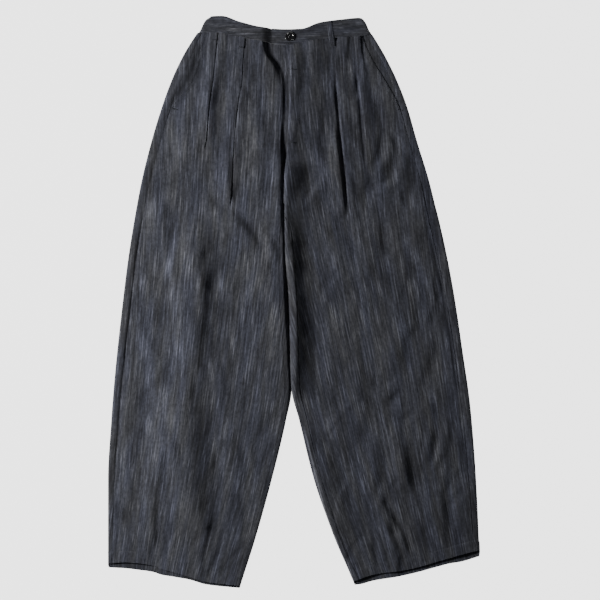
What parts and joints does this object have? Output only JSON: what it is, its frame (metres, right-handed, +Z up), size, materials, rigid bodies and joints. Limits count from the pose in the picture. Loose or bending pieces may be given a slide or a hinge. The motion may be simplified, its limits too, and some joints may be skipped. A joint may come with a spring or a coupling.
{
  "type": "balloon pants",
  "caption": "Balloon pants laid flat: pleated fronts, full curved legs, slant pockets, fly, waistband with belt loops and a button.",
  "frame": {"origin": "centre of the footprint, on the surface that the garment lies on", "axes": "+Y from the hems to the waist, +Z up out of the front, +X to the wearer's left"},
  "size_m": [0.6704, 1.0293, 0.0128],
  "materials": {
    "slub_cloth": "streaky slub weave, soft matte",
    "button_black": "polished"
  },
  "bodies": {
    "root": {"front_right": "slub_cloth", "front_left": "slub_cloth", "back_right": "slub_cloth", "back_left": "slub_cloth", "waistband_right": "slub_cloth", "waistband_left": "slub_cloth", "belt_loop_front_right": "slub_cloth", "belt_loop_front_left": "slub_cloth", "belt_loop_back_right": "slub_cloth", "belt_loop_back_centre": "slub_cloth", "belt_loop_back_left": "slub_cloth", "pocket_facing_right": "slub_cloth", "pocket_facing_left": "slub_cloth", "fly_facing": "slub_cloth", "waist_button": "button_black"}
  },
  "joints": []
}
